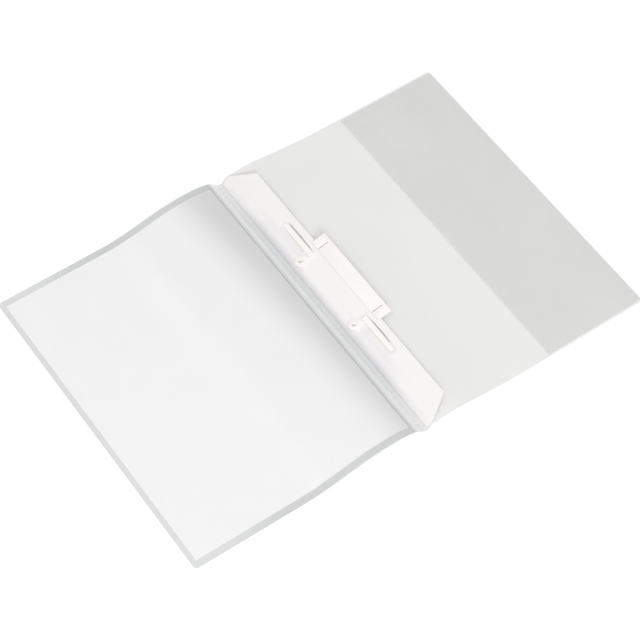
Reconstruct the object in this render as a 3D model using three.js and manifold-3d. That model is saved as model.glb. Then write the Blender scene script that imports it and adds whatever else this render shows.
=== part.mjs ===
// Two-hole document folder for A4 sheets, lying open on a table. Millimetres, +Z up.
// X runs across the opened covers, front cover at -X and back cover at +X. Y runs along the spine.
// The origin is on the table, under the middle of the opened folder.

import * as THREE from 'three';
import { mergeVertices } from 'three/addons/utils/BufferGeometryUtils.js';
import Module from 'manifold-3d';

const wasm = await Module();
wasm.setup();

// Sheet format that the folder is made for
const sheetWidth = 210;
const sheetLength = 297;
const holeSpacing = 80;
const holeMargin = 12;
const holeOffset = 0.2;

// Covers and spine, as one creased film. Margins are what the front cover leaves round its sheet.
const endMargin = 6.5;
const outerMargin = 4.7;
const backReach = 230.7;
const spineWidth = 13.2;
const spineRise = 41.5;
const cornerRadius = 4;
const filmThickness = 0.5;
const foldGap = 0.2;

// The bulge that the folded film keeps beside the spine
const frontCrestAt = 25;
const frontCrestHeight = 12;
const frontLandingAt = 112;
const grooveFloor = 4.5;
const flankTopAt = 8.7;
const flankTopHeight = 4.2;
const backCrestAt = 30;
const backCrestHeight = 6.7;
const backLandingAt = 113;

// Title sheet and the clear pocket film that holds it on the front cover
const titleSheetThickness = 0.25;
const layerGap = 0.15;
const pocketFilmThickness = 0.3;
const pocketInset = 0.6;
const pocketMouthSetback = 0.8;
const sheetClearance = 0.3;
const sheetSetback = 1.2;

// Inner pocket along the outer edge of the back cover
const backPocketWidth = 100;
const backPocketInset = 2;
const backPocketRoom = 0.6;
const backPocketWeld = 3;

// Binding strip: a flank that stands on the groove and a panel that leans back to its free edge
const stripThickness = 0.8;
const stripFootAt = 4.1;
const stripFootHeight = 1.35;
const stripBendAt = 8.9;
const stripBendHeight = 7.25;
const stripBendRadius = 1.6;
const stripTilt = 12.4;
const panelWidth = 22.8;
const stripEndInset = 2.5;
const panelEndCut = 14;
const panelEndCutDepth = 20.8;

// Dent of the strip along a prong, where a finger lifts it, and the seat of its knuckle
const fingerDentDepth = 0.9;
const fingerDentLength = 39;
const fingerDentInner = 4.6;
const fingerDentOuter = 2;
const fingerDentRadius = 4;
const fingerDentPast = 3;
const dentWall = 0.65;
const knuckleSeatDepth = 0.45;
const knuckleSeatRoom = 0.5;

// Slit in the strip along the side of a prong that faces the free edge
const slitWidth = 1.4;
const slitStart = 2.2;
const slitLength = 36.5;

// Prongs, their pivots and brackets
const prongWidth = 5;
const prongTipWidth = 4.2;
const prongThickness = 0.9;
const prongLength = 40.5;
const knuckleRadius = 1;
const pivotHeight = 0.75;
const pinRadius = 0.42;
const pinClearance = 0.08;
const pinSeatGap = 0.02;
const cheekThickness = 1;
const cheekRise = 0.75;
const cheekLength = 3.6;
const sideClearance = 0.15;
const bracketBridge = 0.9;
const earRadius = 5.4;
const earThickness = 0.9;
const seatGap = 0.05;

// Rivets that hold the brackets to the strip
const rivetFromBend = 1.9;
const rivetShankRadius = 1.5;
const rivetHeadRadius = 2.8;
const rivetHeadHeight = 0.8;
const rivetHeadBevel = 0.35;
const rivetDishRadius = 2;
const rivetDishDepth = 0.55;
const rivetBoreRadius = 1.1;
const rivetBoreDepth = 1.6;
const rivetFootRadius = 1.95;
const rivetFootHeight = 0.5;
const fitGap = 0.12;

// Compressor bar, parked on the free edge of the strip
const barLength = 98;
const barWidth = 14.1;
const barRise = 1.5;
const barGrip = 3.2;
const lipThickness = 1.2;
const gripGap = 0.3;
const barSlotWidth = 1.1;
const barSlotLength = 11.3;
const barCornerRadius = 0.9;
const barEdgeBevel = 0.4;

const degrees = Math.PI / 180;

// Derived sizes, and places measured from the foot of the spine
const folderLength = sheetLength + 2 * endMargin;
const frontReach = sheetWidth + outerMargin;
const creaseAt = -spineWidth * Math.cos(spineRise * degrees);
const creaseHeight = spineWidth * Math.sin(spineRise * degrees);
const centreAt = (backReach + creaseAt - frontReach) / 2;
const prongLine = holeMargin + holeOffset;
const prongAt = holeSpacing / 2;
const earTop = seatGap + earThickness;

// Turns a closed triangle mesh into a solid that can be joined and cut
function solidOf(geometry) {
  const bare = geometry.clone();
  bare.deleteAttribute('normal');
  bare.deleteAttribute('uv');
  const merged = mergeVertices(bare);
  const mesh = new wasm.Mesh({
    numProp: 3,
    vertProperties: new Float32Array(merged.attributes.position.array),
    triVerts: new Uint32Array(merged.index.array),
  });
  return new wasm.Manifold(mesh);
}

// Turns a solid back into a drawable mesh
function geometryOf(solid) {
  const mesh = solid.getMesh();
  const geometry = new THREE.BufferGeometry();
  geometry.setAttribute('position', new THREE.BufferAttribute(mesh.vertProperties.slice(), 3));
  geometry.setIndex(new THREE.BufferAttribute(mesh.triVerts.slice(), 1));
  const flat = geometry.toNonIndexed();
  flat.computeVertexNormals();
  return flat;
}

function boxSolid(low, high) {
  const size = high.map((value, i) => value - low[i]);
  const box = new THREE.BoxGeometry(...size);
  box.translate(...low.map((value, i) => value + size[i] / 2));
  return solidOf(box);
}

// A box given by its lengths along X, Y and Z, mirrored to the far or near half of the folder
function sideBox(side, low, high) {
  const ys = [side * low[1], side * high[1]];
  return boxSolid([low[0], Math.min(...ys), low[2]], [high[0], Math.max(...ys), high[2]]);
}

function prism(shape, bottom, height, curveSegments = 10) {
  const geometry = new THREE.ExtrudeGeometry(shape, { depth: height, bevelEnabled: false, curveSegments });
  geometry.translate(0, 0, bottom);
  return solidOf(geometry);
}

function roundedOutline(left, right, near, far, radius) {
  const shape = new THREE.Shape();
  shape.moveTo(left + radius, near);
  shape.lineTo(right - radius, near);
  shape.absarc(right - radius, near + radius, radius, -Math.PI / 2, 0);
  shape.lineTo(right, far - radius);
  shape.absarc(right - radius, far - radius, radius, 0, Math.PI / 2);
  shape.lineTo(left + radius, far);
  shape.absarc(left + radius, far - radius, radius, Math.PI / 2, Math.PI);
  shape.lineTo(left, near + radius);
  shape.absarc(left + radius, near + radius, radius, Math.PI, Math.PI * 1.5);
  return shape;
}

// Extrudes a section drawn in the XZ plane along the whole spine direction
function alongSpine(points, halfLength) {
  const geometry = new THREE.ExtrudeGeometry(new THREE.Shape(points), {
    depth: 2 * halfLength,
    bevelEnabled: false,
  });
  geometry.rotateX(Math.PI / 2);
  geometry.translate(0, halfLength, 0);
  return solidOf(geometry);
}

// Points at one height above a section line, measured square to the line
function offsetLine(line, height) {
  return line.map((point, i) => {
    const before = line[Math.max(i - 1, 0)];
    const after = line[Math.min(i + 1, line.length - 1)];
    const along = after.clone().sub(before).normalize();
    return new THREE.Vector2(point.x - along.y * height, point.y + along.x * height);
  });
}

// The layer of film or paper between two heights above a section line
function layer(line, low, high, halfLength) {
  const section = [...offsetLine(line, low), ...offsetLine(line, high).reverse()];
  return alongSpine(section, halfLength);
}

function curveTo(points, handleA, handleB, end, steps) {
  const start = points[points.length - 1];
  const curve = new THREE.CubicBezierCurve(start, handleA, handleB, end);
  points.push(...curve.getPoints(steps).slice(1));
}

const at = (x, z) => new THREE.Vector2(x, z);

// Underside of the front cover, from its outer edge to the crease
function frontLine() {
  const edge = creaseAt - frontReach;
  const landing = creaseAt - frontLandingAt;
  const crest = creaseAt - frontCrestAt;
  const slope = (frontLandingAt - frontCrestAt) * 0.4;
  const shoulder = frontCrestAt * 0.4;
  const points = [at(edge, 0), at(landing, 0)];
  curveTo(points, at(landing + slope, 0), at(crest - slope, frontCrestHeight), at(crest, frontCrestHeight), 16);
  const creaseHandle = at(creaseAt - shoulder, creaseHeight + shoulder * 0.25);
  curveTo(points, at(crest + shoulder, frontCrestHeight), creaseHandle, at(creaseAt, creaseHeight), 6);
  return points;
}

// Underside of the back cover, from the foot of the spine to its outer edge
function backLine() {
  const points = [at(foldGap, 0), at(grooveFloor - 1, 0)];
  const flank = at(flankTopAt, flankTopHeight);
  curveTo(points, at(grooveFloor, 0), at(grooveFloor + 0.4, 0.4), at(grooveFloor + 0.9, 0.9), 4);
  points.push(flank);
  const shoulder = (backCrestAt - flankTopAt) * 0.35;
  curveTo(
    points,
    at(flankTopAt + 1.4, flankTopHeight + 1.1),
    at(backCrestAt - shoulder, backCrestHeight),
    at(backCrestAt, backCrestHeight),
    7,
  );
  const slope = backLandingAt - backCrestAt;
  const landing = at(backLandingAt, 0);
  curveTo(
    points,
    at(backCrestAt + slope * 0.22, backCrestHeight),
    at(backLandingAt - slope * 0.54, 0),
    landing,
    14,
  );
  points.push(at(backReach, 0));
  return points;
}

// A section line with a stretch taken off its last end
function trimEnd(line, distance) {
  const points = [...line];
  let rest = distance;
  while (points.length > 1) {
    const end = points.pop();
    const before = points[points.length - 1];
    const step = end.distanceTo(before);
    if (step > rest) {
      points.push(end.clone().lerp(before, rest / step));
      break;
    }
    rest -= step;
  }
  return points;
}

const halfFolder = folderLength / 2;
const frontEdge = creaseAt - frontReach;
const frontUnderside = frontLine();

function frontOutline(inset) {
  const right = creaseAt + cornerRadius * 3;
  return prism(
    roundedOutline(frontEdge + inset, right, -halfFolder + inset, halfFolder - inset, cornerRadius),
    -5,
    40,
  );
}

function frontCoverFilm() {
  const line = trimEnd(frontUnderside, foldGap);
  return layer(line, 0, filmThickness, halfFolder).intersect(frontOutline(0));
}

const sheetLow = filmThickness + layerGap;
const sheetHigh = sheetLow + titleSheetThickness;
const pocketLow = sheetHigh + layerGap;
const pocketHigh = pocketLow + pocketFilmThickness;

function titleSheet() {
  const line = trimEnd(frontUnderside, sheetSetback);
  const plan = boxSolid(
    [creaseAt - sheetWidth, -sheetLength / 2, -5],
    [creaseAt + 5, sheetLength / 2, 35],
  );
  return layer(line, sheetLow, sheetHigh, halfFolder).intersect(plan);
}

function frontPocketFilm() {
  const line = trimEnd(frontUnderside, pocketMouthSetback);
  const whole = layer(line, filmThickness, pocketHigh, halfFolder).intersect(frontOutline(pocketInset));
  const hollow = layer(frontUnderside, filmThickness - 0.2, pocketLow, halfFolder);
  const insideEnd = sheetLength / 2 + sheetClearance;
  const plan = boxSolid(
    [creaseAt - sheetWidth - sheetClearance, -insideEnd, -5],
    [creaseAt + 10, insideEnd, 35],
  );
  return whole.subtract(hollow.intersect(plan));
}

// The narrow panel between the two folds, which stands against the sheets' edges once closed
function spineFilm() {
  const foot = at(0, 0);
  const crease = at(creaseAt, creaseHeight);
  const along = foot.clone().sub(crease).normalize();
  const footSetback = foldGap + filmThickness * Math.tan((spineRise / 2) * degrees);
  const line = [
    crease.clone().addScaledVector(along, foldGap),
    foot.clone().addScaledVector(along, -footSetback),
  ];
  return layer(line, 0, filmThickness, halfFolder);
}

function backCoverFilm() {
  const outline = roundedOutline(-cornerRadius * 3, backReach, -halfFolder, halfFolder, cornerRadius);
  const film = layer(backLine(), 0, filmThickness, halfFolder);
  const start = boxSolid([foldGap, -halfFolder - 1, -5], [backReach + 1, halfFolder + 1, 40]);
  return film.intersect(prism(outline, -5, 40)).intersect(start);
}

// Open towards the spine, welded to the back cover along its other three sides
function backPocketFilm() {
  const outer = backReach - backPocketInset;
  const mouth = backReach - backPocketWidth;
  const half = halfFolder - backPocketInset;
  const top = filmThickness + backPocketRoom + pocketFilmThickness;
  const outline = roundedOutline(mouth, outer, -half, half, cornerRadius - backPocketInset / 2);
  const whole = prism(outline, filmThickness, top - filmThickness);
  const room = boxSolid(
    [mouth - 1, -half + backPocketWeld, filmThickness - 1],
    [outer - backPocketWeld, half - backPocketWeld, filmThickness + backPocketRoom],
  );
  return whole.subtract(room);
}

// Frame of the strip's panel: X from the bend to the free edge, Z square to the panel, 0 on its top face
const panelFrame = new THREE.Matrix4().multiplyMatrices(
  new THREE.Matrix4().makeTranslation(stripBendAt, 0, stripBendHeight + stripThickness / 2),
  new THREE.Matrix4().makeRotationY(-stripTilt * degrees),
);

function stripSection() {
  const tilt = stripTilt * degrees;
  const down = stripThickness / 2;
  const bend = at(stripBendAt + down * Math.sin(tilt), stripBendHeight + down - down * Math.cos(tilt));
  const foot = at(stripFootAt, stripFootHeight);
  const free = bend.clone().add(at(Math.cos(tilt), Math.sin(tilt)).multiplyScalar(panelWidth));
  const up = bend.clone().sub(foot).normalize();
  const out = free.clone().sub(bend).normalize();
  const points = [foot];
  const start = bend.clone().addScaledVector(up, -stripBendRadius);
  const end = bend.clone().addScaledVector(out, stripBendRadius);
  points.push(start);
  curveTo(points, start.clone().lerp(bend, 0.6), end.clone().lerp(bend, 0.6), end, 6);
  points.push(free);
  return points;
}

// The dent along one prong: the wall that bulges down, and the room inside
function fingerDent(side) {
  const far = prongAt + prongLength + fingerDentPast;
  const near = far - fingerDentLength;
  const left = prongLine - prongWidth / 2 - fingerDentInner;
  const right = prongLine + prongWidth / 2 + fingerDentOuter;
  const outline = (grow) => {
    const ys = [side * (near - grow), side * (far + grow)];
    return roundedOutline(left - grow, right + grow, Math.min(...ys), Math.max(...ys), fingerDentRadius + grow);
  };
  const bottom = -fingerDentDepth - dentWall;
  return {
    wall: prism(outline(dentWall), bottom, -bottom, 6),
    room: prism(outline(0), -fingerDentDepth, fingerDentDepth + 3, 6),
  };
}

function knuckleSeat(side) {
  const half = prongWidth / 2 + sideClearance + knuckleSeatRoom;
  const reach = knuckleRadius + knuckleSeatRoom;
  return sideBox(
    side,
    [prongLine - half, prongAt - reach, -knuckleSeatDepth],
    [prongLine + half, prongAt + reach, 3],
  );
}

function prongSlit(side) {
  const left = prongLine + prongWidth / 2;
  const start = prongAt + slitStart;
  return sideBox(side, [left, start, -5], [left + slitWidth, start + slitLength, 3]);
}

function bindingStrip() {
  const half = halfFolder - stripEndInset;
  const whole = layer(stripSection(), -stripThickness / 2, stripThickness / 2, half);
  const endCut = new THREE.Shape();
  const free = panelWidth + 2;
  const start = panelWidth - panelEndCutDepth;
  endCut.moveTo(start, half + 1);
  endCut.lineTo(start, half);
  endCut.lineTo(panelWidth, half - panelEndCut);
  endCut.lineTo(free, half - panelEndCut);
  endCut.lineTo(free, half + 1);
  const farCut = prism(endCut, -3, 6);
  const nearCut = farCut.mirror([0, 1, 0]);
  let strip = whole.subtract(farCut.add(nearCut).transform(panelFrame.elements));
  for (const side of [1, -1]) {
    const dent = fingerDent(side);
    const hole = rivetHole(side, rivetShankRadius + fitGap);
    const cuts = dent.room.add(knuckleSeat(side)).add(hole).add(rivetFootSeat(side)).add(prongSlit(side));
    strip = strip.add(dent.wall.transform(panelFrame.elements));
    strip = strip.subtract(cuts.transform(panelFrame.elements));
  }
  return strip;
}

function upright(radius, bottom, height, x, y, segments = 28) {
  const geometry = new THREE.CylinderGeometry(radius, radius, height, segments);
  geometry.rotateX(Math.PI / 2);
  geometry.translate(x, y, bottom + height / 2);
  return solidOf(geometry);
}

function acrossPanel(radius, left, right, y, z, segments = 20) {
  const geometry = new THREE.CylinderGeometry(radius, radius, right - left, segments);
  geometry.rotateZ(Math.PI / 2);
  geometry.translate((left + right) / 2, y, z);
  return solidOf(geometry);
}

function rivetHole(side, radius) {
  return upright(radius, -5, 10, rivetFromBend, side * prongAt);
}

// Room for the rivet's foot in the inside of the strip's bend
function rivetFootSeat(side) {
  const depth = rivetFootHeight + 2 * seatGap;
  return upright(rivetFootRadius + fitGap, -stripThickness - depth, depth, rivetFromBend, side * prongAt);
}

// An ear round the rivet, and a clevis with open-topped grooves for the ends of the prong's pin
function prongBracket(side) {
  const ear = upright(earRadius, seatGap, earThickness, rivetFromBend, side * prongAt, 40);
  const gapHalf = prongWidth / 2 + sideClearance;
  const half = gapHalf + cheekThickness;
  const low = prongAt - cheekLength / 2;
  const high = prongAt + cheekLength / 2;
  const back = prongAt - knuckleRadius - fitGap;
  const cheekTop = pivotHeight + cheekRise;
  const arm = sideBox(side, [rivetFromBend, low, seatGap], [prongLine - gapHalf, high, earTop]);
  const clevis = sideBox(side, [prongLine - half, low, seatGap], [prongLine + half, high, cheekTop]);
  const bridge = sideBox(
    side,
    [prongLine - half, back - bracketBridge, seatGap],
    [prongLine + half, back, earTop],
  );
  const gap = sideBox(side, [prongLine - gapHalf, back, -3], [prongLine + gapHalf, high + 1, 5]);
  const overBridge = sideBox(side, [prongLine - gapHalf, low - 1, earTop], [prongLine + gapHalf, high, 5]);
  const grooveHalf = pinRadius + pinSeatGap;
  const seat = acrossPanel(grooveHalf, prongLine - half - 1, prongLine + half + 1, side * prongAt, pivotHeight);
  const groove = boxSolid(
    [prongLine - half - 1, side * prongAt - grooveHalf, pivotHeight],
    [prongLine + half + 1, side * prongAt + grooveHalf, 5],
  );
  return ear
    .add(arm)
    .add(clevis)
    .add(bridge)
    .subtract(gap.add(overBridge).add(seat).add(groove))
    .subtract(rivetHole(side, rivetShankRadius + fitGap));
}

function prongPin(side) {
  const half = prongWidth / 2 + sideClearance + cheekThickness - 0.1;
  return acrossPanel(pinRadius, prongLine - half, prongLine + half, side * prongAt, pivotHeight);
}

// A flat tongue with a rounded tip and a knuckle that turns on the pin
function prong(side) {
  const half = prongWidth / 2;
  const tipHalf = prongTipWidth / 2;
  const shape = new THREE.Shape();
  shape.moveTo(prongLine - half, side * prongAt);
  shape.lineTo(prongLine + half, side * prongAt);
  const tip = side * (prongAt + prongLength - tipHalf);
  shape.lineTo(prongLine + tipHalf, tip);
  shape.absarc(prongLine, tip, tipHalf, 0, side * Math.PI, side < 0);
  const tongue = prism(shape, pivotHeight - prongThickness / 2, prongThickness);
  const knuckle = acrossPanel(knuckleRadius, prongLine - half, prongLine + half, side * prongAt, pivotHeight);
  const hole = acrossPanel(
    pinRadius + pinClearance,
    prongLine - half - 1,
    prongLine + half + 1,
    side * prongAt,
    pivotHeight,
  );
  return tongue.add(knuckle).subtract(hole);
}

// A tubular rivet: dished and bored head on the ear, shank through the strip, foot under it
function rivet(side) {
  const headTop = earTop + rivetHeadHeight;
  const under = -stripThickness - seatGap;
  const profile = [
    [0, under - rivetFootHeight],
    [rivetFootRadius, under - rivetFootHeight],
    [rivetFootRadius, under],
    [rivetShankRadius, under],
    [rivetShankRadius, earTop + seatGap],
    [rivetHeadRadius, earTop + seatGap],
    [rivetHeadRadius, headTop - rivetHeadBevel],
    [rivetHeadRadius - rivetHeadBevel, headTop],
    [rivetDishRadius, headTop],
    [rivetBoreRadius, headTop - rivetDishDepth],
    [rivetBoreRadius, headTop - rivetBoreDepth],
    [0, headTop - rivetBoreDepth],
  ];
  const geometry = new THREE.LatheGeometry(profile.map((point) => new THREE.Vector2(...point)), 32);
  geometry.rotateX(Math.PI / 2);
  geometry.translate(rivetFromBend, side * prongAt, 0);
  return solidOf(geometry);
}

// Bar with two slots that open towards the prongs and a groove that grips the strip's free edge
function compressorBar() {
  const left = panelWidth - barGrip;
  const right = left + barWidth;
  const bottom = -stripThickness - gripGap - lipThickness * 0.7;
  const bevel = barEdgeBevel;
  const half = barLength / 2;
  const outline = roundedOutline(left + bevel, right - bevel, bevel - half, half - bevel, barCornerRadius - bevel);
  const block = new THREE.ExtrudeGeometry(outline, {
    depth: barRise - bottom - 2 * bevel,
    bevelThickness: bevel,
    bevelSize: bevel,
    bevelSegments: 2,
    curveSegments: 5,
  });
  block.translate(0, 0, bottom + bevel);
  const body = solidOf(block);
  const groove = boxSolid(
    [left - 1, -barLength, -stripThickness - gripGap],
    [panelWidth + gripGap, barLength, gripGap],
  );
  let bar = body.subtract(groove);
  for (const side of [1, -1]) {
    const slot = boxSolid(
      [left - 1, side * prongAt - barSlotWidth / 2, bottom - 1],
      [left + barSlotLength, side * prongAt + barSlotWidth / 2, barRise + 1],
    );
    bar = bar.subtract(slot);
  }
  return bar;
}

const finishes = {
  frontFilm: { color: 0xd4d8d6, roughness: 0.25 },
  backFilm: { color: 0xe8e8e6, roughness: 0.45 },
  pocketFilm: { color: 0xd7d8d8, roughness: 0.3 },
  paper: { color: 0xf4f4f4, roughness: 0.9 },
  strip: { color: 0xf6f2f3, roughness: 0.4 },
  fastener: { color: 0xfaf6f3, roughness: 0.35 },
};

const folder = new THREE.Group();
const panel = new THREE.Group();
folder.position.x = -centreAt;
panel.applyMatrix4(panelFrame);
folder.add(panel);

function addPiece(parent, name, solid, finish) {
  const material = new THREE.MeshStandardMaterial({ metalness: 0, ...finishes[finish] });
  const mesh = new THREE.Mesh(geometryOf(solid), material);
  mesh.name = name;
  parent.add(mesh);
}

addPiece(folder, 'front_cover_film', frontCoverFilm(), 'frontFilm');
addPiece(folder, 'title_sheet', titleSheet(), 'paper');
addPiece(folder, 'front_pocket_film', frontPocketFilm(), 'frontFilm');
addPiece(folder, 'spine_film', spineFilm(), 'frontFilm');
addPiece(folder, 'back_cover_film', backCoverFilm(), 'backFilm');
addPiece(folder, 'back_pocket_film', backPocketFilm(), 'pocketFilm');
addPiece(folder, 'binding_strip', bindingStrip(), 'strip');
for (const [place, side] of [['far', 1], ['near', -1]]) {
  addPiece(panel, `prong_bracket_${place}`, prongBracket(side), 'fastener');
  addPiece(panel, `prong_pin_${place}`, prongPin(side), 'fastener');
  addPiece(panel, `prong_${place}`, prong(side), 'fastener');
  addPiece(panel, `rivet_${place}`, rivet(side), 'fastener');
}
addPiece(panel, 'compressor_bar', compressorBar(), 'fastener');

export default folder;
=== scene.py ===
import math

import bmesh
import bpy
from mathutils import Matrix, Vector


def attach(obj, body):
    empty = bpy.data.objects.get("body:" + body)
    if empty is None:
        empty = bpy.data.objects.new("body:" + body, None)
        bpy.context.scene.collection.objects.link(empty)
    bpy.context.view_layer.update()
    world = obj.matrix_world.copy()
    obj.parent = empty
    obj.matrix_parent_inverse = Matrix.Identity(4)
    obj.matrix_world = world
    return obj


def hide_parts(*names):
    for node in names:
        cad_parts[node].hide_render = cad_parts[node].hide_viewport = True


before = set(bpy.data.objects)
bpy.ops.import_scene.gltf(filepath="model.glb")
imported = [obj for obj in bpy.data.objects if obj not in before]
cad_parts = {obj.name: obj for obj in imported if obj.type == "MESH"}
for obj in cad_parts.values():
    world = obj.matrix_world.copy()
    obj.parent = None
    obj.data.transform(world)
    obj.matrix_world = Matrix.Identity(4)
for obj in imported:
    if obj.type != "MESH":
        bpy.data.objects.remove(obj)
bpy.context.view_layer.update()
print("frame loaded")

mm = 0.001

# Places that the pieces share, in millimetres from the foot of the spine
folder = {
    "centreAt": 3.0569,
    "halfLength": 155,
    "frontReach": 214.7,
    "backReach": 230.7,
    "spineWidth": 13.2,
    "spineRise": 41.5,
    "film": 0.5,
    "cornerRadius": 4,
    "sheetWidth": 210,
    "sheetHalf": 148.5,
}
creaseAt = -folder["spineWidth"] * math.cos(math.radians(folder["spineRise"]))
creaseHeight = folder["spineWidth"] * math.sin(math.radians(folder["spineRise"]))


# Points along a Bezier curve, without its start
def curvePoints(start, handleA, handleB, end, steps):
    points = []
    for i in range(1, steps + 1):
        t = i / steps
        s = 1 - t
        weights = (s**3, 3 * s * s * t, 3 * s * t * t, t**3)
        ends = (start, handleA, handleB, end)
        points.append(tuple(sum(w * p[k] for w, p in zip(weights, ends)) for k in (0, 1)))
    return points


def straightPoints(start, end, steps):
    return [
        tuple(start[k] + (end[k] - start[k]) * i / steps for k in (0, 1))
        for i in range(1, steps + 1)
    ]


# The flat outer rim of both covers has its own close points
rim = {"width": 14, "steps": 28}

# Bulge of the front cover, with places counted from the crease
frontBulge = {
    "landing": 112,
    "crest": 25,
    "height": 12,
    "slope": 0.4,
    "shoulder": 10,
    "creaseFall": 0.25,
}


def frontLine():
    edge = creaseAt - folder["frontReach"]
    landing, crest = creaseAt - frontBulge["landing"], creaseAt - frontBulge["crest"]
    slope = (frontBulge["landing"] - frontBulge["crest"]) * frontBulge["slope"]
    height, shoulder = frontBulge["height"], frontBulge["shoulder"]
    crestEnd = (crest, height)
    crease = (creaseAt, creaseHeight)
    beforeCrease = (creaseAt - shoulder, creaseHeight + shoulder * frontBulge["creaseFall"])
    points = [(edge, 0)]
    points += straightPoints(points[-1], (edge + rim["width"], 0), rim["steps"])
    points += straightPoints(points[-1], (landing, 0), 20)
    points += curvePoints(points[-1], (landing + slope, 0), (crest - slope, height), crestEnd, 48)
    points += curvePoints(points[-1], (crest + shoulder, height), beforeCrease, crease, 24)
    return points


# The back cover leaves a groove beside the spine, then bulges. Places count from the spine's foot.
backBulge = {
    "valleyEnd": (3.5, 0),
    "valleyHandles": ((4.5, 0), (4.9, 0.4)),
    "flankStart": (5.4, 0.9),
    "flankEnd": (8.7, 4.2),
    "flankHandle": (10.1, 5.3),
    "crest": 30,
    "height": 6.7,
    "landing": 113,
    "rising": 0.35,
    "leaving": 0.22,
    "arriving": 0.54,
}


def backLine():
    crest, height, landing = backBulge["crest"], backBulge["height"], backBulge["landing"]
    flankEnd = backBulge["flankEnd"]
    rising = (crest - (crest - flankEnd[0]) * backBulge["rising"], height)
    leaving = (crest + (landing - crest) * backBulge["leaving"], height)
    arriving = (landing - (landing - crest) * backBulge["arriving"], 0)
    points = [(0, 0)]
    points += straightPoints(points[-1], backBulge["valleyEnd"], 7)
    points += curvePoints(points[-1], *backBulge["valleyHandles"], backBulge["flankStart"], 10)
    points += straightPoints(points[-1], flankEnd, 6)
    points += curvePoints(points[-1], backBulge["flankHandle"], rising, (crest, height), 24)
    points += curvePoints(points[-1], leaving, arriving, (landing, 0), 48)
    points += straightPoints(points[-1], (folder["backReach"] - rim["width"], 0), 24)
    points += straightPoints(points[-1], (folder["backReach"], 0), rim["steps"])
    return points


# Takes a length off the end of a line
def trimEnd(line, distance):
    points = list(line)
    rest = distance
    while len(points) > 1:
        end = points.pop()
        before = points[-1]
        step = math.dist(end, before)
        if step > rest:
            k = rest / step
            points.append((end[0] + (before[0] - end[0]) * k, end[1] + (before[1] - end[1]) * k))
            break
        rest -= step
    return points


# Directions square to a line
def normals(line):
    found = []
    for i in range(len(line)):
        before, after = line[max(i - 1, 0)], line[min(i + 1, len(line) - 1)]
        dx, dz = after[0] - before[0], after[1] - before[1]
        size = math.hypot(dx, dz)
        found.append((-dz / size, dx / size))
    return found


# A piece on its moving body, in place of its CAD nodes
def makeObject(name, mesh, body, material, replaced):
    piece = bpy.data.objects.new(name, mesh)
    bpy.context.scene.collection.objects.link(piece)
    mesh.materials.clear()
    mesh.materials.append(material)
    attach(piece, body)
    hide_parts(*replaced)
    return piece


def smoothFaces(mesh, angle):
    for polygon in mesh.polygons:
        polygon.use_smooth = True
    mesh.set_sharp_from_angle(angle=math.radians(angle))


# A thin closed skin: a grid of points with a low and a high side.
# point(i, j, side) gives each place in millimetres.
def shellMesh(name, columns, rows, point):
    corners = []
    for side in (0, 1):
        for i in range(columns):
            for j in range(rows):
                x, y, z = point(i, j, side)
                corners.append(((x - folder["centreAt"]) * mm, y * mm, z * mm))
    size = columns * rows

    def at(i, j, side):
        return side * size + i * rows + j

    faces = []
    for i in range(columns - 1):
        for j in range(rows - 1):
            faces.append((at(i, j, 1), at(i + 1, j, 1), at(i + 1, j + 1, 1), at(i, j + 1, 1)))
            faces.append((at(i, j, 0), at(i, j + 1, 0), at(i + 1, j + 1, 0), at(i + 1, j, 0)))
    for i in range(columns - 1):
        faces.append((at(i, 0, 0), at(i + 1, 0, 0), at(i + 1, 0, 1), at(i, 0, 1)))
        last = rows - 1
        faces.append((at(i + 1, last, 0), at(i, last, 0), at(i, last, 1), at(i + 1, last, 1)))
    for j in range(rows - 1):
        faces.append((at(0, j + 1, 0), at(0, j, 0), at(0, j, 1), at(0, j + 1, 1)))
        last = columns - 1
        faces.append((at(last, j, 0), at(last, j + 1, 0), at(last, j + 1, 1), at(last, j, 1)))
    mesh = bpy.data.meshes.new(name)
    mesh.from_pydata(corners, [], faces)
    mesh.validate()
    smoothFaces(mesh, 40)
    return mesh


# How far the outline is drawn in at a distance from an edge, for a round corner
def cornerInset(distance, radius):
    if distance >= radius:
        return 0
    gap = radius - max(distance, 0)
    return radius - math.sqrt(max(radius * radius - gap * gap, 0))


def smoothStep(value, start, end):
    t = min(max((value - start) / (end - start), 0), 1)
    return t * t * (3 - 2 * t)


# Places across the folder, close together near both ends
def spread(half, fineFrom, fineStep, coarseStep):
    inner = [i * coarseStep for i in range(int((half - fineFrom) / coarseStep) + 1)]
    count = max(int(round((half - inner[-1]) / fineStep)), 1)
    outer = [inner[-1] + (half - inner[-1]) * i / count for i in range(1, count + 1)]
    positive = inner + outer
    return [-y for y in reversed(positive[1:])] + positive


# A skin that follows a section line, with heights above it that can change along and across
def filmMesh(name, line, places, heights, halfAt):
    ups = normals(line)
    widest = places[-1]

    def point(i, j, side):
        y = places[j] / widest * halfAt(line[i][0])
        height = heights(line[i][0], y)[side]
        return line[i][0] + ups[i][0] * height, y, line[i][1] + ups[i][1] * height

    return shellMesh(name, len(line), len(places), point)


def newMaterial(name):
    material = bpy.data.materials.new(name)
    material.use_nodes = True
    nodes = material.node_tree.nodes
    return material, nodes, material.node_tree.links, nodes["Principled BSDF"]


def linearColour(colour):
    return tuple(c / 12.92 if c <= 0.04045 else ((c + 0.055) / 1.055) ** 2.4 for c in colour) + (1,)


def mathNode(nodes, links, operation, first, second=None):
    step = nodes.new("ShaderNodeMath")
    step.operation = operation
    links.new(first, step.inputs[0])
    if second is not None:
        links.new(second, step.inputs[1])
    return step.outputs["Value"]


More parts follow.
